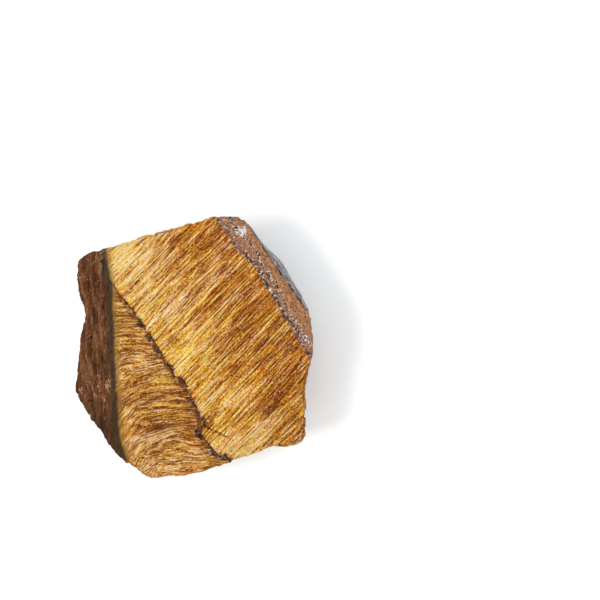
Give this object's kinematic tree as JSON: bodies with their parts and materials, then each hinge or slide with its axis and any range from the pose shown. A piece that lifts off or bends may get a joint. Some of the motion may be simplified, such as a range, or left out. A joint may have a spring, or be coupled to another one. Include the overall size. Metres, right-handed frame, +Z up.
{
  "type": "rough tigers eye stone",
  "caption": "Rough broken chunk of golden fibrous tiger's eye with a brown crust wall and a banded ironstone edge, lying on a flat underside.",
  "frame": {"origin": "middle of the bounding box's underside, on the flat face that the stone lies on", "axes": "+Z up from the flat underside, +Y along the stone's longest side, +X towards the ironstone edge"},
  "size_m": [0.056, 0.061, 0.0265],
  "materials": {
    "tigers_eye": "silky broken fibres, satin to dull"
  },
  "bodies": {
    "root": {"tigers_eye_stone": "tigers_eye"}
  },
  "joints": []
}
